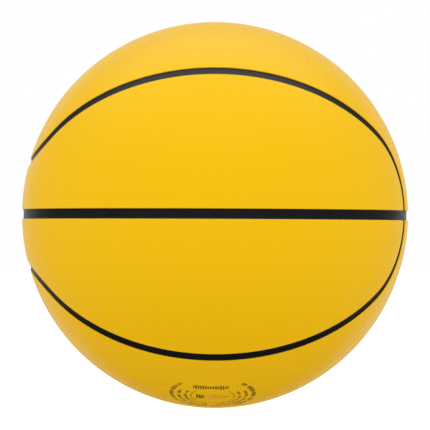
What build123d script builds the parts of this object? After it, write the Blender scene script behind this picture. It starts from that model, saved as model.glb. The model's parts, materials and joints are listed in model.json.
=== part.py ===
from build123d import *

import os
from math import acos, asin, atan2, cos, degrees, pi, radians, sin, sqrt

# A moulded rubber basketball for the playground, size 7, as the layers that it is built up from.
#
# From the inside out: an airtight bladder with its valve housing, a layer of wound thread, a rubber carcass, black
# strips that line the seam channels, and eight alike rubber cover panels that stand proud of the strips. The valve
# plug is the one loose piece: it pulls out of the housing along the valve's axis.
#
# The origin is the ball's centre. The waist seam lies in the plane Z = 0 and the crown seam in the plane Y = 0, so
# they cross on the X axis. The curved seam runs midway between them, in the planes Y = Z and Y = -Z, and turns
# round each crossing: over the waist seam at the +X end and over the crown seam at the -X end.

# Ball and its layers, in millimetres
ball_diameter = 240.0
cover_thickness = 1.6
carcass_thickness = 0.6
winding_thickness = 0.4
bladder_thickness = 0.6
bond_gap = 0.1  # line of cement between two pieces that are bonded together

# Seams
channel_width = 6.0
channel_depth = 1.0
corner_radius = 2.0  # of a panel's corners, where two channels cross
lip_radius = 0.4  # of a panel's outer edge
turn_angle = 30.0  # degrees at the ball's centre: the radius of each turn of the curved seam

# Valve, along its own axis
valve_dip = 67.5  # degrees below the waist seam, at the front
plug_clearance = 0.06  # radial, between the plug and its housing
plug_head_radius = 4.0
plug_head_thickness = 1.1
plug_radius = 3.0
plug_shank_length = 18.0
plug_tip_chamfer = 0.8
plug_groove_radius = 0.25
plug_groove_pitch = 3.0
plug_groove_count = 3
plug_end_gap = 0.5  # between the plug's tip and the bottom of its pocket
needle_radius = 1.0
needle_clearance = 0.1
needle_bore_length = 11.0
needle_lead_in = 0.6
collar_wall = 1.5
collar_recess = 0.4  # depth of the valve's flat face under the cover's surface
flange_radius = 16.0
flange_thickness = 1.2
stem_end_wall = 2.5
stem_draft = 0.9  # how much slimmer the stem is at its end
air_port_radius = 1.25
parting_line_turn = 27.0  # degrees about the valve's axis, of the parting line on the housing and the plug

# Radii and places that follow
ball_radius = ball_diameter / 2
cover_inner = ball_radius - cover_thickness
carcass_outer = cover_inner - bond_gap
carcass_inner = carcass_outer - carcass_thickness
winding_outer = carcass_inner - bond_gap
winding_inner = winding_outer - winding_thickness
bladder_outer = winding_inner - bond_gap
bladder_inner = bladder_outer - bladder_thickness
strip_outer = ball_radius - channel_depth
channel_half = channel_width / 2
strip_half = channel_half - bond_gap
needle_bore_radius = needle_radius + needle_clearance
pocket_radius = plug_radius + plug_clearance
head_pocket_radius = plug_head_radius + plug_clearance
collar_radius = head_pocket_radius + collar_wall
valve_face = ball_radius - collar_recess  # all from here on are heights along the valve's axis
head_seat = valve_face - plug_head_thickness
plug_tip = head_seat - plug_shank_length
pocket_bottom = plug_tip - plug_end_gap
stem_end = pocket_bottom - stem_end_wall

# Directions on the front upper quarter, which every other quarter repeats
turn = radians(turn_angle)
turn_offset = asin(sin(turn) * sqrt(2))  # from the seams' crossing to the middle of the turn
run_start = acos(cos(turn_offset) / cos(turn))  # from the seams' crossing to where the turn runs out
turn_middle = Vector(cos(turn_offset), -sin(turn_offset), 0)
waist_crossing = Vector(cos(turn_offset - turn), -sin(turn_offset - turn), 0)
run_first = Vector(cos(run_start), -sin(run_start) / sqrt(2), sin(run_start) / sqrt(2))
run_axis = Vector(1, 0, 0).cross(run_first).normalized()
turn_sweep = degrees(atan2(run_first.Z, run_first.dot(Vector(sin(turn_offset), cos(turn_offset), 0))))
turn_overrun = degrees(channel_width / (ball_radius * sin(turn)))
swap_axis = Axis((0, 0, 0), (0, -1, 1))  # half a turn about it swaps the two ends of the quarter
quarters = {"front_upper": (-1, 1), "front_lower": (-1, -1), "rear_upper": (1, 1), "rear_lower": (1, -1)}


def shell(outer, inner):
    """A hollow ball."""
    return Solid.make_sphere(outer, angle1=-90, angle2=90) - Solid.make_sphere(inner, angle1=-90, angle2=90)


def band(axis, start, sweep, half_width, outer, inner):
    """A strip bent round the ball: its middle line leaves the direction start and turns about axis by sweep degrees.
    Its sides are parallel, and its top and bottom are spheres about the ball's centre."""
    across = start.cross(axis).cross(start).normalized()

    def corner(radius, side):
        return start * sqrt(radius**2 - half_width**2) + across * (side * half_width)

    outline = [
        ThreePointArc(corner(outer, -1), start * outer, corner(outer, 1)),
        Line(corner(outer, 1), corner(inner, 1)),
        ThreePointArc(corner(inner, 1), start * inner, corner(inner, -1)),
        Line(corner(inner, -1), corner(outer, -1)),
    ]
    return Solid.revolve(Face(Wire(outline)), sweep, Axis((0, 0, 0), axis))


def curved_quarter(half_width, outer, inner):
    """The curved seam's band on the front upper quarter: a turn, a straight run and a turn, from just past the waist
    seam to just past the crown seam."""
    start = waist_crossing.rotate(Axis((0, 0, 0), turn_middle), -turn_overrun)
    first_turn = band(turn_middle, start, turn_sweep + turn_overrun, half_width, outer, inner)
    run = band(run_axis, run_first, degrees(pi - 2 * run_start), half_width, outer, inner)
    return first_turn, run, first_turn.rotate(swap_axis, 180)


def quarter_block(margin):
    """The space of the front upper quarter that lies at least margin from the middles of the waist and crown seams."""
    reach = 2 * ball_radius
    return Solid.make_box(2 * reach, reach, reach).moved(Location((-reach, -reach - margin, margin)))


def is_corner(edge):
    """True for the short upright edges where two channels cross."""
    middle = edge @ 0.5
    return edge.length < 2 * cover_thickness and min(abs(middle.Y), abs(middle.Z)) < channel_half + bond_gap


def is_lip(edge):
    """True for the edges that lie on the ball's surface."""
    return all(abs((edge @ place).length - ball_radius) < bond_gap for place in (0, 0.5, 1))


def waist_panel():
    """The cover panel of the front upper quarter that touches the waist seam."""
    rest = shell(ball_radius, cover_inner) & quarter_block(channel_half)
    for cutter in curved_quarter(channel_half, ball_radius + cover_thickness, cover_inner - cover_thickness):
        rest = rest - cutter
    panel = rest.solids().sort_by(Axis.Z)[0]
    panel = panel.fillet(corner_radius, panel.edges().filter_by(is_corner))
    return panel.fillet(lip_radius, panel.edges().filter_by(is_lip))


def curved_strip():
    """The black strip of the curved seam on the front upper quarter. It stops at the waist and crown channels."""
    first_turn, run, last_turn = curved_quarter(strip_half, strip_outer, cover_inner)
    return (first_turn + run + last_turn) & quarter_block(channel_half)


def in_quarter(solid, side_y, side_z):
    """A copy of a front upper solid in the quarter on the given sides of the crown and waist seams."""
    if side_y > 0:
        solid = solid.mirror(Plane.XZ)
    if side_z < 0:
        solid = solid.mirror(Plane.XY)
    return solid


def waist_strip():
    """The black strip of the waist seam, a full ring."""
    return band(Vector(0, 0, 1), Vector(0, 1, 0), 360, strip_half, strip_outer, cover_inner)


def crown_strip():
    """The upper half of the crown seam's black strip. It stops at the waist channel."""
    half_ring = band(Vector(0, 1, 0), Vector(-1, 0, 0), 180, strip_half, strip_outer, cover_inner)
    reach = 2 * ball_radius
    return half_ring & Solid.make_box(2 * reach, 2 * reach, reach).moved(Location((-reach, -reach, channel_half)))


def on_valve_axis(solid):
    """Turns a solid that is built along +Z onto the valve's axis."""
    return solid.rotate(Axis.Z, parting_line_turn).rotate(Axis.X, 90 + valve_dip)


def turned(outline):
    """The solid of revolution about +Z of a closed outline in the plane Y = 0."""
    return Solid.revolve(Face(Wire(outline)), 360, Axis.Z)


def lines(*points):
    """Straight edges through (radius, height) points."""
    places = [(radius, 0, height) for radius, height in points]
    return [Line(a, b) for a, b in zip(places, places[1:])]


def height_at(sphere_radius, radius):
    """Height of a sphere about the ball's centre at a radius from the valve's axis."""
    return sqrt(sphere_radius**2 - radius**2)


def valve_hole():
    """The hole that the collar needs in each layer of the wall."""
    radius = collar_radius + bond_gap
    return on_valve_axis(Solid.make_cylinder(radius, ball_radius + collar_wall))


def dome_arc(sphere_radius, first, last):
    """An arc about the ball's centre from the radius first to the radius last, both from the valve's axis."""
    ends = [(radius, 0, height_at(sphere_radius, radius)) for radius in (first, (first + last) / 2, last)]
    return ThreePointArc(*ends)


def valve_housing():
    """The rubber housing that is bonded inside the bladder: a flange, a collar through the wall and a stem inwards."""
    flange_outer = bladder_inner - bond_gap
    flange_inner = flange_outer - flange_thickness
    stem_radius = collar_radius
    outline = [
        dome_arc(flange_outer, collar_radius, flange_radius),
        *lines(
            (flange_radius, height_at(flange_outer, flange_radius)),
            (flange_radius, height_at(flange_inner, flange_radius)),
        ),
        dome_arc(flange_inner, flange_radius, stem_radius),
        *lines(
            (stem_radius, height_at(flange_inner, stem_radius)),
            (stem_radius - stem_draft, stem_end),
            (air_port_radius, stem_end),
            (air_port_radius, pocket_bottom),
            (pocket_radius, pocket_bottom),
            (pocket_radius, head_seat),
            (head_pocket_radius, head_seat),
            (head_pocket_radius, valve_face),
            (collar_radius, valve_face),
            (collar_radius, height_at(flange_outer, collar_radius)),
        ),
    ]
    return on_valve_axis(turned(outline))


def valve_plug():
    """The rubber plug that fills the housing: a flat head, a grooved shank and a blind hole for the pump's needle."""
    bore_bottom = valve_face - needle_lead_in - needle_bore_length
    plug = turned(
        lines(
            (0, plug_tip),
            (plug_radius - plug_tip_chamfer, plug_tip),
            (plug_radius, plug_tip + plug_tip_chamfer),
            (plug_radius, head_seat),
            (plug_head_radius, head_seat),
            (plug_head_radius, valve_face),
            (needle_bore_radius + needle_lead_in, valve_face),
            (needle_bore_radius, valve_face - needle_lead_in),
            (needle_bore_radius, bore_bottom),
            (0, bore_bottom - needle_bore_radius),
            (0, plug_tip),
        )
    )
    for step in range(plug_groove_count):
        height = plug_tip + plug_tip_chamfer + (step + 1) * plug_groove_pitch
        plug = plug - Solid.make_torus(plug_radius, plug_groove_radius).moved(Location((0, 0, height)))
    return on_valve_axis(plug)


def cover_panels():
    """The eight cover panels by name, with the valve's hole in the panel that it comes through."""
    waist = waist_panel()
    crown = waist.rotate(swap_axis, 180)
    panels = {}
    for quarter, sides in quarters.items():
        panels[f"cover_panel_{quarter}_waist"] = in_quarter(waist, *sides)
        panels[f"cover_panel_{quarter}_crown"] = in_quarter(crown, *sides)
    panels["cover_panel_front_lower_crown"] = panels["cover_panel_front_lower_crown"] - valve_hole()
    return panels


def seam_strips():
    """The seven black strips by name."""
    upper = crown_strip()
    strips = {
        "seam_strip_waist": waist_strip(),
        "seam_strip_crown_upper": upper,
        "seam_strip_crown_lower": upper.mirror(Plane.XY),
    }
    curve = curved_strip()
    for quarter, sides in quarters.items():
        strips[f"seam_strip_curved_{quarter}"] = in_quarter(curve, *sides)
    return strips


def wall_layers():
    """The three closed layers under the cover by name, each with the valve's hole."""
    return {
        "carcass": shell(carcass_outer, carcass_inner) - valve_hole(),
        "thread_winding": shell(winding_outer, winding_inner) - valve_hole(),
        "bladder": shell(bladder_outer, bladder_inner) - valve_hole(),
    }


os.makedirs("parts", exist_ok=True)
nodes = {
    **cover_panels(),
    **seam_strips(),
    **wall_layers(),
    "valve_housing": valve_housing(),
    "valve_plug": valve_plug(),
}
for name, solid in nodes.items():
    export_step(solid, f"parts/{name}.step")
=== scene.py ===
"""A yellow moulded rubber basketball: pebbled cover, black seam channels, and a valve in a printed ring."""

import json
from math import acos, asin, atan2, cos, pi, radians, sin, sqrt

import bpy
import numpy as np
from mathutils import Matrix, Vector


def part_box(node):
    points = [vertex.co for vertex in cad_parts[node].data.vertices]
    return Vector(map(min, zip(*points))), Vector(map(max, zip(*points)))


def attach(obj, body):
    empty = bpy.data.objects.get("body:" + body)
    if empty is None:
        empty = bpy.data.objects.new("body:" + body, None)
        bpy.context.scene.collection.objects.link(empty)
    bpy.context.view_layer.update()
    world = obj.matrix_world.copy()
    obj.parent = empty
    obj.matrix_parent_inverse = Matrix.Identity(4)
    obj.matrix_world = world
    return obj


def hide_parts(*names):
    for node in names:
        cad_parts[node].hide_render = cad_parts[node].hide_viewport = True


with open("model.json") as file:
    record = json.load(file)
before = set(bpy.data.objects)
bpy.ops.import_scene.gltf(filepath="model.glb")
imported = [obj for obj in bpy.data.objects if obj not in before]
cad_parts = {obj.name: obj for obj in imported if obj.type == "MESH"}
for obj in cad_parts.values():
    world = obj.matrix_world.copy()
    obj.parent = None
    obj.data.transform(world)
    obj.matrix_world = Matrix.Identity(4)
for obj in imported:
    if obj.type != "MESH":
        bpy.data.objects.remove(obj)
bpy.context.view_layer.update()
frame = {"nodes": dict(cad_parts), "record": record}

# ------------------------ sizes, in metres, from the frame where it has them

MM = 0.001

mounts = {mount["name"]: mount for mount in frame["record"]["mounts"]}
ball_radius = -mounts["floor_contact"]["pos_m"][2]
valve_axis = np.array(mounts["needle_bore"]["axis"])
channel_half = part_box("cover_panel_front_upper_waist")[0].z
strip_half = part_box("seam_strip_waist")[1].z
channel_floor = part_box("seam_strip_waist")[1].x
cover_thickness = 1.6 * MM
cover_inner = ball_radius - cover_thickness
corner_radius = 2.0 * MM  # of a panel's corners, where two channels cross
lip_radius = 0.45 * MM  # of a panel's outer edge
valve_hole_radius = 5.66 * MM
valve_along = pi / 2 * ball_radius  # the valve is halfway along its panel's middle line
valve_panel = "cover_panel_front_lower_crown"

# Pebbles stand in rows along each panel, every other row shifted by half a pitch
pebble_pitch = 2.1 * MM
row_pitch = pebble_pitch * sqrt(3) / 2
pebble_height = 0.2 * MM
pebble_lift, pebble_gain = 0.1, 0.95  # what the waves are raised by and stretched by
rim_width = 0.9 * MM  # the pebbles fade out over it beside a channel
rim_level = 0.55  # of the pebbles' height
column_step = pebble_pitch / 4  # of the grid that a panel's top is made on
row_step = row_pitch / 3
grid_overhang = 0.3 * column_step  # how far outside the outline a point of the grid may lie
lip_angles = (30, 60, 90)  # degrees round a panel's lip, where its profile has points
underside_shares = (0.8, 0.6, 0.4, 0.2, 0)  # of the way from the underside's middle line to the wall
slope_step = 0.01 * MM  # over which a distance's slope is measured
weld_distance = 0.002 * MM  # within which two points are one

# Channel floor: the black rubber turns up the walls
fillet_width = 0.9 * MM
fillet_rise = 0.5 * MM
strip_columns = 19
waist_steps, crown_steps, turn_steps, run_steps = 1440, 720, 180, 360

# Seam layout, in radians at the ball's centre. The curved seam's turns are small circles whose middles lie
# turn_offset from the seams' crossing, and they touch the planes halfway between the waist and crown seams.
turn = radians(30)
turn_offset = asin(sin(turn) * sqrt(2))
run_start = acos(cos(turn_offset) / cos(turn))
near_middle = np.array([cos(turn_offset), -sin(turn_offset), 0.0])
far_middle = np.array([-cos(turn_offset), 0.0, sin(turn_offset)])
near_touch = np.array([cos(run_start), -sin(run_start) / sqrt(2), sin(run_start) / sqrt(2)])
far_touch = near_touch * [-1, 1, 1]
run_normal = np.array([0.0, -1.0, -1.0]) / sqrt(2)  # square to the run's plane, towards the waist seam

# A panel's own directions: its middle line is a great circle from the +X crossing to the -X crossing
crossing = np.array([1.0, 0.0, 0.0])
panel_middle = np.array([0.0, -cos(pi / 8), sin(pi / 8)])
panel_across = np.array([0.0, sin(pi / 8), cos(pi / 8)])

# Each quarter's sides in Y and Z
quarters = {"front_upper": (-1, 1), "front_lower": (-1, -1), "rear_upper": (1, 1), "rear_lower": (1, -1)}


# ------------------------ shapes as whole arrays


def unit(vectors):
    """Each vector divided by its length."""
    return vectors / np.linalg.norm(vectors, axis=-1, keepdims=True)


def smooth_step(values):
    """0 below 0, 1 above 1, and 3v^2 - 2v^3 between."""
    v = np.clip(values, 0, 1)
    return v * v * (3 - 2 * v)


def on_panel(along, across):
    """Directions from two arc lengths: along the panel's middle from the +X crossing, and square to it."""
    a = (along / ball_radius)[..., None]
    b = (across / ball_radius)[..., None]
    return np.cos(b) * (np.cos(a) * crossing + np.sin(a) * panel_middle) + np.sin(b) * panel_across


def panel_place(directions):
    """The arc lengths that on_panel turns into these directions. The first runs on past the -X crossing."""
    across = np.arcsin(np.clip(directions @ panel_across, -1, 1)) * ball_radius
    along = np.arctan2(directions @ panel_middle, directions[..., 0]) * ball_radius
    return np.where(along < -1 * MM, along + 2 * pi * ball_radius, along), across


def arc_from(directions, pole):
    """Angle of each direction from the pole."""
    return np.arccos(np.clip(directions @ pole, -1, 1))


def curve_side(directions):
    """Signed arc distance from the curved seam's middle line on the front upper quarter, positive on the
    waist panel's side: from the near turn's circle as far as its touch, then from the run's plane, then
    from the far turn's circle."""
    near = turn - arc_from(directions, near_middle)
    run = np.arcsin(np.clip(directions @ run_normal, -1, 1))
    far = arc_from(directions, far_middle) - turn
    on_near = (directions @ np.cross(near_middle, near_touch) < 0) & (directions[..., 0] > 0)
    on_far = (directions @ np.cross(far_middle, far_touch) < 0) & (directions[..., 0] < 0)
    return np.where(on_near, near, np.where(on_far, far, run)) * ball_radius


def rounded_least(first, second):
    """The lesser of two distances to walls that meet square, with their corner rounded to corner_radius."""
    short = np.hypot(np.clip(corner_radius - first, 0, None), np.clip(corner_radius - second, 0, None))
    in_corner = (first < corner_radius) & (second < corner_radius)
    return np.where(in_corner, corner_radius - short, np.minimum(first, second))


def waist_wall(directions):
    """Arc distance from the nearest wall of the front upper waist panel, positive inside its outline."""
    waist = np.arcsin(np.clip(directions[..., 2], -1, 1)) * ball_radius - channel_half
    crown = np.arcsin(np.clip(-directions[..., 1], -1, 1)) * ball_radius - channel_half
    return rounded_least(rounded_least(waist, crown), curve_side(directions) - channel_half)


def inside_lip(directions, has_valve):
    """Arc distance inside the line where a panel's top meets its lip, round the outline and the valve."""
    distance = waist_wall(directions)
    if has_valve:
        along, across = panel_place(directions)
        distance = np.minimum(distance, np.hypot(along - valve_along, across) - valve_hole_radius)
    return distance - lip_radius


def turned_to_crown(points):
    """Half a turn about the line between the waist and crown seams. It swaps waist panel and crown panel."""
    return points[..., [0, 2, 1]] * -1


def nearest_panel(directions):
    """Arc distance of places in the channels from the nearest cover panel. A place is first mirrored into the
    front upper quarter, where it is tried as it is and turned from the crown panel to the waist panel."""
    folded = np.abs(directions) * [1, -1, 1]
    folded[..., 0] = directions[..., 0]
    return -np.maximum(waist_wall(folded), waist_wall(turned_to_crown(folded)))


def lattice(along, across):
    """The pebbles' swell, from 0 between three pebbles to 1 on top of one: the sum of three cosine waves, 60
    degrees apart, whose crests cross on every pebble. The sum runs from -1.5 to 3."""
    third = pi * across / row_pitch
    step = 2 * pi * along / pebble_pitch
    waves = np.cos(2 * third) + np.cos(step + third) + np.cos(step - third)
    return (waves + 1.5) / 4.5


def pebbled_radius(along, across, inside):
    """Radius of the cover's surface: pebbles on the valley level, fading into a flat rim beside a wall."""
    fade = smooth_step(inside / rim_width)
    swell = smooth_step(pebble_lift + pebble_gain * lattice(along, across))
    return ball_radius - pebble_height * (1 - (fade * swell + (1 - fade) * rim_level))


def outward(points, faces):
    """Faces turned so that the closed shell that they make holds a positive volume."""
    volume = 0.0
    for f in faces:
        a, b, c = points[f[:, 0]], points[f[:, 1]], points[f[:, 2]]
        volume += np.einsum("ij,ij->", a, np.cross(b, c))
        if f.shape[1] == 4:
            volume += np.einsum("ij,ij->", a, np.cross(c, points[f[:, 3]]))
    return faces if volume > 0 else [f[:, ::-1] for f in faces]


def new_piece(name, points, faces, material):
    """A smooth-shaded mesh piece from an (n, 3) array of points and a list of arrays of point numbers, one
    row a face. Every face of an array has as many corners as the array has columns."""
    mesh = bpy.data.meshes.new(name)
    corners = np.concatenate([f.ravel() for f in faces]).astype(np.int32)
    counts = np.concatenate([np.full(len(f), f.shape[1]) for f in faces]).astype(np.int32)
    mesh.vertices.add(len(points))
    mesh.vertices.foreach_set("co", np.asarray(points, np.float32).ravel())
    mesh.loops.add(len(corners))
    mesh.loops.foreach_set("vertex_index", corners)
    mesh.polygons.add(len(counts))
    mesh.polygons.foreach_set("loop_start", np.concatenate([[0], np.cumsum(counts)[:-1]]).astype(np.int32))
    mesh.polygons.foreach_set("use_smooth", np.ones(len(counts), bool))
    mesh.update(calc_edges=True)
    mesh.materials.append(material)
    piece = bpy.data.objects.new(name, mesh)
    bpy.context.scene.collection.objects.link(piece)
    return piece


# ------------------------ cover panels


def towards_inside(directions, inside):
    """Unit tangents along which a distance grows, from its slopes over a short step east and one north."""
    step = slope_step / ball_radius
    east = unit(np.cross(panel_across, directions))
    north = np.cross(directions, east)
    here = inside(directions)
    slope_east = inside(unit(directions + step * east)) - here
    slope_north = inside(unit(directions + step * north)) - here
    return unit(slope_east[:, None] * east + slope_north[:, None] * north)


def panel_grid(inside):
    """Directions at the crossings of a grid of two arc lengths, half a turn along the panel and a sixteenth
    each side, less those further outside the outline than grid_overhang, with the grid's column of each, and
    the squares whose four corners are left."""
    column_count = int(pi * ball_radius / column_step) + 3
    last_row = int(pi / 8 * ball_radius / row_step) + 2
    i, j = np.meshgrid(np.arange(column_count), np.arange(-last_row, last_row + 1), indexing="ij")
    directions = on_panel(i * column_step, j * row_step).reshape(-1, 3)
    kept = (inside(directions) > -grid_overhang).reshape(i.shape)
    whole = kept[:-1, :-1] & kept[1:, :-1] & kept[1:, 1:] & kept[:-1, 1:]
    index = np.arange(i.size).reshape(i.shape)
    squares = np.stack([index[:-1, :-1], index[:-1, 1:], index[1:, 1:], index[1:, :-1]], -1)[whole]
    used, squares = np.unique(squares, return_inverse=True)
    return directions[used], i.ravel()[used], squares.reshape(-1, 4)


def open_edges(squares, count):
    """Where each edge that only one square uses starts and ends, going round as the square does."""
    starts, ends = squares.ravel(), np.roll(squares, -1, axis=1).ravel()
    alone = ~np.isin(starts * count + ends, ends * count + starts)
    return starts[alone], ends[alone]


def panel_surface(has_valve):
    """The waist panel of the front upper quarter, or its twin with the valve's hole: points and quads.

    The top is a grid of two arc lengths, trimmed to the outline less the lip, whose edge points are drawn
    onto it. From there a profile is carried round the edge: a quarter-round lip, the wall, and the underside,
    which closes on a line midway between the walls."""

    def inside(directions):
        """Arc distance inside the line that the top is trimmed to."""
        return inside_lip(directions, has_valve)

    directions, columns, squares = panel_grid(inside)
    count = len(directions)
    starts, ends = open_edges(squares, count)
    edge = np.unique(starts)
    place_in_edge = np.full(count, -1)
    place_in_edge[edge] = np.arange(len(edge))

    # Each try moves the edge points square to the outline by their distance from it
    for _ in range(3):
        inward = towards_inside(directions[edge], inside)
        gap = inside(directions[edge])[:, None] / ball_radius
        directions[edge] = unit(directions[edge] - gap * inward)
    inward = towards_inside(directions[edge], inside)

    along, across = panel_place(directions)
    top = directions * pebbled_radius(along, across, inside(directions))[:, None]
    rim = np.linalg.norm(top[edge], axis=1, keepdims=True)
    rings = []
    for angle in lip_angles:
        out = lip_radius * sin(radians(angle)) / ball_radius
        drop = lip_radius * (1 - cos(radians(angle)))
        rings.append(unit(directions[edge] - out * inward) * (rim - drop))
    wall_foot = unit(rings[-1])
    rings.append(wall_foot * cover_inner)

    # The line that the underside closes on is midway between the outline's ends in each column of the grid,
    # and parts to go round the valve's hole
    foot_along, foot_across = panel_place(wall_foot)
    edge_columns = columns[edge]
    lowest = np.full(columns.max() + 1, np.inf)
    highest = np.full(columns.max() + 1, -np.inf)
    np.minimum.at(lowest, columns, across)
    np.maximum.at(highest, columns, across)
    spine_across = (lowest[edge_columns] + highest[edge_columns]) / 2
    spine_along = edge_columns * column_step
    if has_valve:
        half_chord = np.sqrt(np.clip(valve_hole_radius**2 - (spine_along - valve_along) ** 2, 0, None))
        spine_across = spine_across + np.sign(foot_across - spine_across) * half_chord
    for share in underside_shares:
        ring_along = spine_along + (foot_along - spine_along) * share
        ring_across = spine_across + (foot_across - spine_across) * share
        rings.append(on_panel(ring_along, ring_across) * cover_inner)

    bands = []
    lower = (starts, ends)
    for number in range(len(rings)):
        base = count + number * len(edge)
        upper = (base + place_in_edge[starts], base + place_in_edge[ends])
        bands.append(np.stack([lower[1], lower[0], upper[0], upper[1]], -1))
        lower = upper
    return np.concatenate([top, *rings]), np.concatenate([squares, *bands])


def merged(points, faces):
    """The points with those that coincide joined, and two arrays of faces: those that keep four corners, and
    those that are left with three. A face that is left with two vanishes, and so does one that folds flat."""
    cells = np.round(points / weld_distance).astype(np.int64)
    _, kept, joined = np.unique(cells, axis=0, return_index=True, return_inverse=True)
    faces = joined.ravel()[faces]
    same = faces == np.roll(faces, -1, axis=1)
    quads = faces[~same.any(axis=1)]
    crossed = (quads[:, 0] == quads[:, 2]) | (quads[:, 1] == quads[:, 3])
    bent = same.sum(axis=1) == 1
    triangles = faces[bent][~same[bent]].reshape(-1, 3)
    flat = triangles[:, 0] == triangles[:, 2]
    return points[kept], [quads[~crossed], triangles[~flat]]


def pebble_swell(points):
    """How far each point stands above the valleys, from 0 in one to 1 on top of a pebble."""
    return np.clip((np.linalg.norm(points, axis=1) - ball_radius) / pebble_height + 1, 0, 1)


def in_quarter(points, faces, side):
    """The front upper quarter's points mirrored to another quarter. One mirror alone turns faces inside
    out, so they are listed the other way round."""
    side_y, side_z = quarters[side]
    if side_y * side_z > 0:
        faces = [f[:, ::-1] for f in faces]
    return points * [1, -side_y, side_z], faces


def from_valve(points):
    """Places across and up a flat sheet that is square to the valve's axis, in metres from it: the two
    parts of each point's direction, times the ball's radius."""
    directions = unit(points)
    return np.stack([directions @ crossing, directions @ np.cross(valve_axis, crossing)], -1) * ball_radius


# ------------------------ seam strips


def strip_surface(lines, closed):
    """A strip carried along its line: points and faces. lines is a grid of directions, one row a step along
    the seam and one column an offset across it. The top stands on the channel's floor and turns up beside the
    panels, by fillet_rise times the square of how far it is inside fillet_width. Sides and underside go down
    to the cover's inner radius. An open strip ends in two flat faces, each a row of narrow quads."""
    near = np.clip(1 - nearest_panel(lines) / fillet_width, 0, 1)
    top = lines * (channel_floor + fillet_rise * near**2)[..., None]
    under = lines[:, ::-1] * cover_inner
    loops = np.concatenate([top, under], axis=1)
    steps, around = loops.shape[:2]
    here = np.arange(steps * around).reshape(steps, around)
    ahead = np.roll(here, -1, axis=0)
    ends = []
    if not closed:
        for loop, order in ((here[0], 1), (here[-1], -1)):
            above, below = loop[: around // 2], loop[around // 2 :][::-1]
            ends.append(np.stack([above[:-1], above[1:], below[1:], below[:-1]], -1)[:, ::order])
        here, ahead = here[:-1], ahead[:-1]
    sides = np.stack([here, ahead, np.roll(ahead, -1, axis=1), np.roll(here, -1, axis=1)], -1).reshape(-1, 4)
    points = loops.reshape(-1, 3)
    return points, outward(points, [np.concatenate([sides, *ends])])


def band_about(pole, start, square, from_pole, about):
    """Directions that lie from_pole from a pole and about round it, from start towards square."""
    flat = np.cos(about)[..., None] * start + np.sin(about)[..., None] * square
    return np.cos(from_pole)[..., None] * pole + np.sin(from_pole)[..., None] * flat


def waist_lines(offsets):
    """Directions round the whole waist seam: an angle about Z, and an angle above or below its plane."""
    about, off = np.meshgrid(np.linspace(0, 2 * pi, waist_steps, endpoint=False), offsets, indexing="ij")
    return np.stack([np.cos(about) * np.cos(off), -np.sin(about) * np.cos(off), np.sin(off)], -1)


def crown_lines(offsets, side_z):
    """Directions over the crown or under it: an angle from the waist strip's wall to the same wall on the far
    side, and an angle beside the crown seam's plane."""
    end = asin(strip_half / channel_floor)
    about, off = np.meshgrid(np.linspace(end, pi - end, crown_steps), offsets, indexing="ij")
    return np.stack([np.cos(about) * np.cos(off), np.sin(off), side_z * np.sin(about) * np.cos(off)], -1)


def curved_lines(offsets):
    """Directions along the curved seam of the front upper quarter, from the waist strip's wall, round the
    near turn, along the run, and round the far turn to the crown strip's wall. A turn is an angle about its
    middle at a steady angle from it, and the run is an angle along its plane and an angle beside it. The
    far turn is worked out beside the near one, and half a turn about the line between the waist and crown
    seams carries it to its place."""
    up, towards_crossing = np.array([0, 0, 1.0]), np.array([sin(turn_offset), cos(turn_offset), 0])
    touch = atan2(near_touch @ up, near_touch @ towards_crossing)
    share = np.linspace(0, 1, turn_steps)[:, None]

    first = np.arcsin(strip_half / channel_floor / np.sin(turn - offsets))
    near = band_about(near_middle, towards_crossing, up, turn - offsets, first + (touch - first) * share)

    forward = unit(far_touch - (far_touch @ near_touch) * near_touch)
    about = np.linspace(0, acos(near_touch @ far_touch), run_steps)[1:-1, None, None]
    beside = offsets[:, None]
    run_line = np.cos(about) * near_touch + np.sin(about) * forward
    run = np.cos(beside) * run_line + np.sin(beside) * run_normal

    last = np.arcsin(strip_half / channel_floor / np.sin(turn + offsets))
    far = band_about(near_middle, towards_crossing, up, turn + offsets, touch + (last - touch) * share)
    return np.concatenate([near, run, turned_to_crown(far)])


# ------------------------ materials

# The valley tone is darker than the pebble tops: partly grime, partly painted shade between the pebbles
GRIMY_SHADED_VALLEY, PEBBLE_TOP, CLOUD, INK = "#efbb02", "#f7c603", "#f3c002", "#2a1a10"
SHEEN = "#ffd23a"
RUBBER_IOR = 1.52
NYLON_IOR = 1.53

# The printed ring, in mm from the valve's axis: its middle, its thin circle's radius and half line, and the
# half angle in degrees over which the circle is open at its top
MARK_RIGHT, MARK_UP = -1.1, 1.2
CIRCLE_RADIUS, CIRCLE_HALF_LINE, CIRCLE_OPENING = 13.2, 0.22, 48
# Each ring: radius, dash pitch and half height in mm, half angle of its opening, and share of dashes kept
DASH_RINGS = ((16.5, 1.9, 1.0, 64, 0.82), (20.5, 2.0, 1.1, 70, 0.84), (24.9, 2.1, 1.3, 46, 0.94))
# Each row of bars: middle, half width, half height and pitch in mm, and share of the pitch that is inked
BAR_ROWS = (
    (-1.0, 14.1, 10.7, 2.6, 1.5, 0.68),
    (-7.4, 0.0, 2.5, 3.4, 1.67, 0.75),
    (7.0, 0.0, 3.2, 1.0, 1.1, 0.55),
)


def linear(colour):
    """An sRGB hex colour as linear red, green, blue and a full alpha."""
    parts = [int(colour[i : i + 2], 16) / 255 for i in (1, 3, 5)]
    return [c / 12.92 if c <= 0.04045 else ((c + 0.055) / 1.055) ** 2.4 for c in parts] + [1.0]


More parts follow.
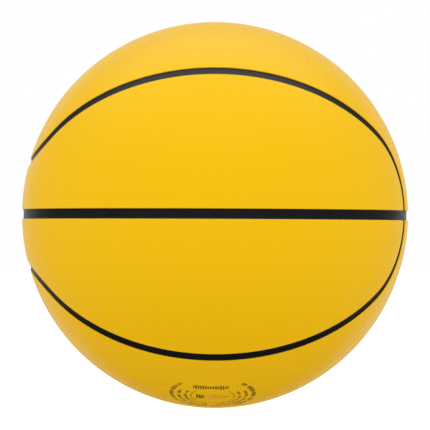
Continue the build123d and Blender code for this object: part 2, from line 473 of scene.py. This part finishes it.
def add(tree, kind, *ordered, named=None, **settings):
    """Adds a shader node. settings are the node's own properties, ordered fills its sockets from the first
    on, and named fills sockets by name. A socket takes a plain value, another node's output, or a node,
    which stands for that node's first output."""
    node = tree.nodes.new("ShaderNode" + kind)
    for name, value in settings.items():
        setattr(node, name, value)
    for socket, value in [*enumerate(ordered), *(named or {}).items()]:
        source = value.outputs[0] if isinstance(value, bpy.types.Node) else value
        if isinstance(source, bpy.types.NodeSocket):
            tree.links.new(source, node.inputs[socket])
        else:
            node.inputs[socket].default_value = source
    return node


def new_material(name):
    """An empty node material and its tree."""
    material = bpy.data.materials.new(name)
    material.use_nodes = True
    material.node_tree.nodes.clear()
    return material, material.node_tree


def printed_marks(tree):
    """Where the ink of the ring round the valve lies, from 0 to 1, on the UV map "mark", in metres from the
    valve: a thin circle, rings of short upright dashes, each open towards the top, and rows of bars. Dashes
    are counted round a ring, and a random number for each sets if it is there and how tall and wide it is."""
    place = add(tree, "UVMap", uv_map="mark")
    centred = add(tree, "Mapping", place, (-MARK_RIGHT * MM, -MARK_UP * MM, 0))
    parts = add(tree, "SeparateXYZ", centred)
    x, y = parts.outputs["X"], parts.outputs["Y"]
    about = add(tree, "Math", x, y, operation="ARCTAN2")
    from_top = add(tree, "Math", about, operation="ABSOLUTE")
    reach = add(tree, "VectorMath", centred, operation="LENGTH").outputs["Value"]

    from_circle = add(tree, "Math", reach, CIRCLE_RADIUS * MM, operation="SUBTRACT")
    line_gap = add(tree, "Math", from_circle, operation="ABSOLUTE")
    on_line = add(tree, "Math", line_gap, CIRCLE_HALF_LINE * MM, operation="LESS_THAN")
    below = add(tree, "Math", from_top, radians(CIRCLE_OPENING), operation="GREATER_THAN")
    ink = add(tree, "Math", on_line, below, operation="MULTIPLY")

    for radius, pitch, half, opening, share in DASH_RINGS:
        per_turn = round(2 * pi * radius / pitch)
        turned = add(tree, "Math", about, pi, operation="ADD")
        counted = add(tree, "Math", turned, per_turn / (2 * pi), operation="MULTIPLY")
        number = add(tree, "Math", counted, operation="FLOOR")
        within = add(tree, "Math", counted, number, operation="SUBTRACT")
        seed = add(tree, "Math", number, radius * 100, operation="ADD")
        chance = add(tree, "TexWhiteNoise", named={"W": seed}, noise_dimensions="1D")
        # from 0.6 to 1.1 of the half height, and from 0.55 to 0.85 of the pitch
        tall = add(tree, "Math", chance, half * MM / 2, 0.6 * half * MM, operation="MULTIPLY_ADD")
        wide = add(tree, "Math", chance, 0.3, 0.55, operation="MULTIPLY_ADD")
        from_ring = add(tree, "Math", reach, radius * MM, operation="SUBTRACT")
        gap = add(tree, "Math", from_ring, operation="ABSOLUTE")
        in_height = add(tree, "Math", gap, tall, operation="LESS_THAN")
        in_width = add(tree, "Math", within, wide, operation="LESS_THAN")
        there = add(tree, "Math", chance, share, operation="LESS_THAN")
        below = add(tree, "Math", from_top, radians(opening), operation="GREATER_THAN")
        dash = add(tree, "Math", in_height, in_width, operation="MULTIPLY")
        dash = add(tree, "Math", dash, there, operation="MULTIPLY")
        dash = add(tree, "Math", dash, below, operation="MULTIPLY")
        ink = add(tree, "Math", ink, dash, operation="MAXIMUM")

    for middle_x, middle_y, half_wide, half_tall, pitch, share in BAR_ROWS:
        counted = add(tree, "Math", x, pitch * MM, operation="DIVIDE")
        number = add(tree, "Math", counted, operation="FLOOR")
        within = add(tree, "Math", counted, number, operation="SUBTRACT")
        seed = add(tree, "Math", number, middle_x, operation="ADD")
        chance = add(tree, "TexWhiteNoise", named={"W": seed}, noise_dimensions="1D")
        # from 0.6 to 1 of the half height
        tall = add(tree, "Math", chance, 0.4 * half_tall * MM, 0.6 * half_tall * MM, operation="MULTIPLY_ADD")
        from_middle = add(tree, "Math", x, middle_x * MM, operation="SUBTRACT")
        from_line = add(tree, "Math", y, middle_y * MM, operation="SUBTRACT")
        gap_x = add(tree, "Math", from_middle, operation="ABSOLUTE")
        gap_y = add(tree, "Math", from_line, operation="ABSOLUTE")
        in_width = add(tree, "Math", gap_x, half_wide * MM, operation="LESS_THAN")
        in_height = add(tree, "Math", gap_y, tall, operation="LESS_THAN")
        inked = add(tree, "Math", within, share, operation="LESS_THAN")
        bar = add(tree, "Math", in_width, in_height, operation="MULTIPLY")
        bar = add(tree, "Math", bar, inked, operation="MULTIPLY")
        ink = add(tree, "Math", ink, bar, operation="MAXIMUM")
    return ink


def cover_rubber(name, printed):
    """Natural rubber, pressed in a pebbled mould. The eye gets a strong, even yellow with faint clouds in
    it, a satin gloss that the pebbles scatter, and valleys painted a little darker than the pebbles' tops:
    partly grime, partly painted shade between the pebbles. Ink is thinner in the valleys."""
    material, tree = new_material(name)
    swell = add(tree, "Attribute", attribute_name="swell").outputs["Fac"]
    place = add(tree, "TexCoord").outputs["Object"]
    # pigment clouds about 12 mm across, and the mould's grain of about 0.3 mm
    cloud = add(tree, "TexNoise", place, named={"Scale": 80.0, "Detail": 3.0, "Roughness": 0.55})
    grain = add(tree, "TexNoise", place, named={"Scale": 3300.0, "Detail": 2.0, "Roughness": 0.6})
    # partly grime and partly painted shade: the valleys between pebbles get a darker yellow than the tops
    tones = {"Factor": swell, "A": linear(GRIMY_SHADED_VALLEY), "B": linear(PEBBLE_TOP)}
    pebbled = add(tree, "Mix", named=tones, data_type="RGBA").outputs["Result"]
    cloudiness = add(tree, "MapRange", cloud, 0.3, 0.7, 0.0, 0.22)
    tones = {"Factor": cloudiness, "A": pebbled, "B": linear(CLOUD)}
    colour = add(tree, "Mix", named=tones, data_type="RGBA").outputs["Result"]
    if printed:
        worn = add(tree, "MapRange", swell, 0.0, 1.0, 0.75, 0.95)
        cover = add(tree, "Math", printed_marks(tree), worn, operation="MULTIPLY")
        tones = {"Factor": cover, "A": colour, "B": linear(INK)}
        colour = add(tree, "Mix", named=tones, data_type="RGBA").outputs["Result"]
    roughness = add(tree, "MapRange", cloud, 0.3, 0.7, 0.24, 0.3)
    bump = add(tree, "Bump", named={"Height": grain, "Strength": 0.25, "Distance": 0.03 * MM})
    finish = {"Base Color": colour, "Roughness": roughness, "Normal": bump}
    finish |= {"IOR": RUBBER_IOR, "Specular IOR Level": 0.11}
    finish |= {"Sheen Weight": 0.12, "Sheen Roughness": 0.3, "Sheen Tint": linear(SHEEN)}
    add(tree, "OutputMaterial", add(tree, "BsdfPrincipled", named=finish))
    return material


def seam_rubber(name):
    """Synthetic rubber, pressed smooth into the channels. The eye gets a deep satin black whose soft gloss
    shows faint drag lines."""
    material, tree = new_material(name)
    place = add(tree, "TexCoord").outputs["Object"]
    # drag lines about 1.5 mm apart, and a grain of about 0.25 mm
    streak = add(tree, "TexNoise", place, named={"Scale": 650.0, "Detail": 2.0, "Roughness": 0.5})
    grain = add(tree, "TexNoise", place, named={"Scale": 4000.0, "Detail": 2.0, "Roughness": 0.6})
    tones = {"Factor": streak, "A": linear("#121214"), "B": linear("#1b1b1d")}
    colour = add(tree, "Mix", named=tones, data_type="RGBA").outputs["Result"]
    roughness = add(tree, "MapRange", streak, 0.3, 0.7, 0.3, 0.42)
    bump = add(tree, "Bump", named={"Height": grain, "Strength": 0.3, "Distance": 0.02 * MM})
    finish = {"Base Color": colour, "Roughness": roughness, "Normal": bump}
    finish |= {"IOR": RUBBER_IOR, "Specular IOR Level": 0.13}
    add(tree, "OutputMaterial", add(tree, "BsdfPrincipled", named=finish))
    return material


def plain_rubber(name, dark, light, roughness, grain_scale):
    """Moulded or calendered rubber. The eye gets one tone with soft clouds, about 8 mm across, and a fine
    grain, whose size in metres is one over grain_scale."""
    material, tree = new_material(name)
    place = add(tree, "TexCoord").outputs["Object"]
    cloud = add(tree, "TexNoise", place, named={"Scale": 120.0, "Detail": 3.0})
    grain = add(tree, "TexNoise", place, named={"Scale": grain_scale, "Detail": 2.0})
    tones = {"Factor": cloud, "A": linear(dark), "B": linear(light)}
    colour = add(tree, "Mix", named=tones, data_type="RGBA").outputs["Result"]
    uneven = add(tree, "MapRange", cloud, 0.0, 1.0, roughness - 0.08, roughness + 0.08)
    bump = add(tree, "Bump", named={"Height": grain, "Strength": 0.3, "Distance": 0.03 * MM})
    finish = {"Base Color": colour, "Roughness": uneven, "Normal": bump}
    finish |= {"IOR": RUBBER_IOR, "Specular IOR Level": 0.3}
    add(tree, "OutputMaterial", add(tree, "BsdfPrincipled", named=finish))
    return material


def wound_thread(name):
    """Nylon thread wound over the bladder in all directions and wetted with latex. The eye gets pale, glossy
    lines that cross, because three sheets of threads lie over each other at different turns."""
    material, tree = new_material(name)
    place = add(tree, "TexCoord").outputs["Object"]
    height = None
    for turn_x, turn_y in ((0.3, 0.2), (1.2, -0.6), (-0.7, 1.1)):
        turned = add(tree, "Mapping", place, named={"Rotation": (turn_x, turn_y, 0.4)})
        # threads 0.6 mm apart
        lines = {"Scale": 520.0, "Distortion": 1.5, "Detail": 1.0}
        wave = add(tree, "TexWave", turned, named=lines, wave_type="BANDS").outputs["Fac"]
        height = wave if height is None else add(tree, "Math", height, wave, operation="MAXIMUM")
    tones = {"Factor": height, "A": linear("#a89f88"), "B": linear("#e6e2d4")}
    colour = add(tree, "Mix", named=tones, data_type="RGBA").outputs["Result"]
    bump = add(tree, "Bump", named={"Height": height, "Strength": 0.6, "Distance": 0.15 * MM})
    finish = {"Base Color": colour, "Normal": bump, "IOR": NYLON_IOR, "Roughness": 0.35}
    add(tree, "OutputMaterial", add(tree, "BsdfPrincipled", named=finish))
    return material


# ------------------------ the ball's pieces

pebbled_yellow = cover_rubber("yellow natural rubber, pebble moulded", printed=False)
printed_yellow = cover_rubber("yellow natural rubber, pebble moulded and printed", printed=True)
channel_black = seam_rubber("black synthetic rubber, pressed smooth")

for has_valve in (False, True):
    panel_points, panel_faces = merged(*panel_surface(has_valve))
    panel_faces = outward(panel_points, panel_faces)
    swell = pebble_swell(panel_points).astype(np.float32)
    rubber = printed_yellow if has_valve else pebbled_yellow
    for side in quarters:
        for place in ("waist", "crown"):
            node_name = f"cover_panel_{side}_{place}"
            if has_valve != (node_name == valve_panel):
                continue
            points = turned_to_crown(panel_points) if place == "crown" else panel_points
            points, faces = in_quarter(points, panel_faces, side)
            piece = new_piece(node_name + "_skin", points, faces, rubber)
            piece.data.attributes.new("swell", "FLOAT", "POINT").data.foreach_set("value", swell)
            if has_valve:
                corners = np.concatenate([f.ravel() for f in faces])
                places = from_valve(points)[corners].astype(np.float32)
                piece.data.uv_layers.new(name="mark").data.foreach_set("uv", places.ravel())
            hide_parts(node_name)
            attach(piece, "ball")

# Offsets across a strip, closest together where its top turns up at the walls
offsets = np.sin(np.linspace(-pi / 2, pi / 2, strip_columns)) * strip_half / ball_radius
strips = {"seam_strip_waist": waist_lines(offsets)}
strips["seam_strip_crown_upper"] = crown_lines(offsets, 1)
strips["seam_strip_crown_lower"] = crown_lines(offsets, -1)
for side, (side_y, side_z) in quarters.items():
    strips[f"seam_strip_curved_{side}"] = curved_lines(offsets) * [1, -side_y, side_z]
for node_name, lines in strips.items():
    points, faces = strip_surface(lines, closed=node_name == "seam_strip_waist")
    piece = new_piece(node_name + "_skin", points, faces, channel_black)
    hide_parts(node_name)
    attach(piece, "ball")

inner = {
    "carcass": plain_rubber("carcass rubber, calendered", "#1d1b19", "#2b2826", 0.7, 1500.0),
    "thread_winding": wound_thread("nylon thread, wound in latex"),
    "bladder": plain_rubber("butyl rubber, moulded", "#131313", "#1e1e1e", 0.45, 2500.0),
    "valve_housing": plain_rubber("yellow valve rubber, moulded smooth", "#edb703", "#f4c203", 0.4, 3000.0),
    "valve_plug": plain_rubber("yellow plug rubber, moulded smooth", "#e6af04", "#efba05", 0.4, 3000.0),
}
for node_name, material in inner.items():
    mesh = frame["nodes"][node_name].data
    mesh.materials.clear()
    mesh.materials.append(material)


# ------------------------ studio

WHITE = (1, 1, 1, 1)
WARM = (1.0, 0.92, 0.8, 1)
FLOOR_RADIUS, FLOOR_CORNERS, FLOOR_GLOW = 6.0, 96, 0.9
LAMP_PLACE, LAMP_POWER, LAMP_SIZE = (0.0, -1.6, 1.1), 9.0, 1.4

# Light on rough surfaces: its level, its gain with height, its loss with depth, and its gain at the sides
LIGHT_LEVEL, LIGHT_RISE, LIGHT_DEPTH, LIGHT_SIDES = 0.71, 0.04, 0.075, 0.24
# A ramp is what goes in, from and to, then what comes out there. Height is 1 straight up, depth 1 behind.
REAR_WALL = (0.0, 0.8, 0.0, 0.4)
WARMTH = (0.2, -0.8, 0.0, 1.0)

# What gloss sees: dim side walls, and ramps for the softbox overhead, which reaches less far at the back, the
# wall behind, the room in front and the dark floor, which reaches less high at the sides and in front
GLOSS_SIDE = 0.25
OVERHEAD, OVERHEAD_LEAN = (0.4, 1.0, 0.0, 2.6), -0.2
BEHIND = (0.6, 1.0, 0.0, 0.65)
AHEAD = (-0.9, -0.4, 0.12, 0.0)
BENEATH, BENEATH_ASIDE, BENEATH_AHEAD = (-0.5, -0.16, 0.0, 1.0), 0.35, -0.4


def soft_light(name):
    """A square area light aimed at the ball's middle. Gloss doesn't show it."""
    lamp = bpy.data.lights.new(name, "AREA")
    lamp.energy = LAMP_POWER
    lamp.size = LAMP_SIZE
    light = bpy.data.objects.new(name, lamp)
    light.location = LAMP_PLACE
    light.visible_glossy = False
    light.rotation_mode = "QUATERNION"
    light.rotation_quaternion = (-Vector(LAMP_PLACE)).to_track_quat("-Z", "Y")
    bpy.context.scene.collection.objects.link(light)


def pale_floor():
    """A white disc under the ball. It is lit and glows enough for its edge to melt into the backdrop, it is
    seen but lights nothing, and from below it is clear. Its paint is matt, with broad patches."""
    material, tree = new_material("white studio floor, painted")
    noise = add(tree, "TexNoise", add(tree, "TexCoord").outputs["Object"], named={"Scale": 4.0})
    tones = {"Factor": noise, "A": linear("#e6e6e6"), "B": linear("#f0f0f0")}
    colour = add(tree, "Mix", named=tones, data_type="RGBA").outputs["Result"]
    finish = {"Base Color": colour, "Roughness": 0.9, "Specular IOR Level": 0.0}
    finish |= {"Emission Color": WHITE, "Emission Strength": FLOOR_GLOW}
    paint = add(tree, "BsdfPrincipled", named=finish)
    from_below = add(tree, "NewGeometry").outputs["Backfacing"]
    choice = add(tree, "MixShader", from_below, paint, add(tree, "BsdfTransparent"))
    add(tree, "OutputMaterial", choice)

    about = np.linspace(0, 2 * pi, FLOOR_CORNERS, endpoint=False)
    level = np.full(FLOOR_CORNERS, -ball_radius - 0.05 * MM)
    ring = np.stack([FLOOR_RADIUS * np.cos(about), FLOOR_RADIUS * np.sin(about), level], -1)
    floor = new_piece("studio_floor", ring, [np.arange(FLOOR_CORNERS)[None, :]], material)
    floor.visible_diffuse = False
    floor.visible_glossy = False
    floor.visible_shadow = False


def studio_world():
    """A white backdrop that lights the ball softly: brightest at the sides and behind, a little brighter
    above than below, and warmer from below. Gloss sees a softbox overhead, dim walls and a dark floor. Each
    brightness is a sum of ramps of the direction's height, depth and distance aside."""
    world = bpy.data.worlds.new("white studio")
    world.use_nodes = True
    tree = world.node_tree
    tree.nodes.clear()
    ray = add(tree, "LightPath")
    parts = add(tree, "SeparateXYZ", add(tree, "TexCoord").outputs["Generated"])
    aside, depth, height = parts.outputs["X"], parts.outputs["Y"], parts.outputs["Z"]

    level = add(tree, "Math", height, LIGHT_RISE, LIGHT_LEVEL, operation="MULTIPLY_ADD")
    level = add(tree, "Math", depth, -LIGHT_DEPTH, level, operation="MULTIPLY_ADD")
    square = add(tree, "Math", aside, aside, operation="MULTIPLY")
    sides = add(tree, "Math", square, square, square, operation="MULTIPLY_ADD")
    level = add(tree, "Math", sides, LIGHT_SIDES, level, operation="MULTIPLY_ADD")
    rear_wall = add(tree, "MapRange", depth, *REAR_WALL, interpolation_type="SMOOTHSTEP")
    level = add(tree, "Math", level, rear_wall, operation="ADD")
    warmth = add(tree, "MapRange", height, *WARMTH)
    tones = {"Factor": warmth, "A": WHITE, "B": WARM}
    tint = add(tree, "Mix", named=tones, data_type="RGBA").outputs["Result"]
    lighting = add(tree, "Background", tint, level)

    rearward = add(tree, "Math", depth, 0.0, operation="MAXIMUM")
    leaned = add(tree, "Math", rearward, OVERHEAD_LEAN, height, operation="MULTIPLY_ADD")
    overhead = add(tree, "MapRange", leaned, *OVERHEAD, interpolation_type="SMOOTHSTEP")
    behind = add(tree, "MapRange", depth, *BEHIND, interpolation_type="SMOOTHSTEP")
    ahead = add(tree, "MapRange", depth, *AHEAD, interpolation_type="SMOOTHSTEP")
    far_aside = add(tree, "Math", aside, operation="ABSOLUTE")
    forward = add(tree, "Math", depth, 0.0, operation="MINIMUM")
    low = add(tree, "Math", far_aside, BENEATH_ASIDE, height, operation="MULTIPLY_ADD")
    low = add(tree, "Math", forward, BENEATH_AHEAD, low, operation="MULTIPLY_ADD")
    beneath = add(tree, "MapRange", low, *BENEATH, interpolation_type="SMOOTHSTEP")
    around = add(tree, "Math", overhead, behind, operation="ADD")
    around = add(tree, "Math", around, ahead, operation="ADD")
    around = add(tree, "Math", around, GLOSS_SIDE, operation="ADD")
    gloss = add(tree, "Background", WHITE, add(tree, "Math", around, beneath, operation="MULTIPLY"))

    backdrop = add(tree, "Background", WHITE, 1.0)
    lit = add(tree, "MixShader", ray.outputs["Is Glossy Ray"], lighting, gloss)
    add(tree, "OutputWorld", add(tree, "MixShader", ray.outputs["Is Camera Ray"], lit, backdrop))
    world.cycles.sampling_method = "NONE"  # each kind of ray then finds its own brightness
    bpy.context.scene.world = world


pale_floor()
studio_world()
soft_light("front_softbox")
bpy.context.scene.view_settings.view_transform = "Standard"

# The camera leans a little. It stands just left of straight in front, and just below the ball's middle.
camera_distance = 12.86 * ball_radius
side_angle, height_angle, lean = radians(-0.09), radians(-0.37), radians(0.24)
level_x, level_y = sin(side_angle) * cos(height_angle), -cos(side_angle) * cos(height_angle)
camera_side = Vector((level_x, level_y, sin(height_angle)))
lens = bpy.data.cameras.new("camera")
lens.sensor_width = 36.0
lens.lens = 207.2
lens.clip_end = 20.0
camera = bpy.data.objects.new("camera", lens)
camera.location = camera_side * camera_distance
camera.rotation_mode = "QUATERNION"
aim = (-camera_side).to_track_quat("-Z", "Y")
camera.rotation_quaternion = aim @ Matrix.Rotation(lean, 3, "Z").to_quaternion()
bpy.context.scene.collection.objects.link(camera)
bpy.context.scene.camera = camera
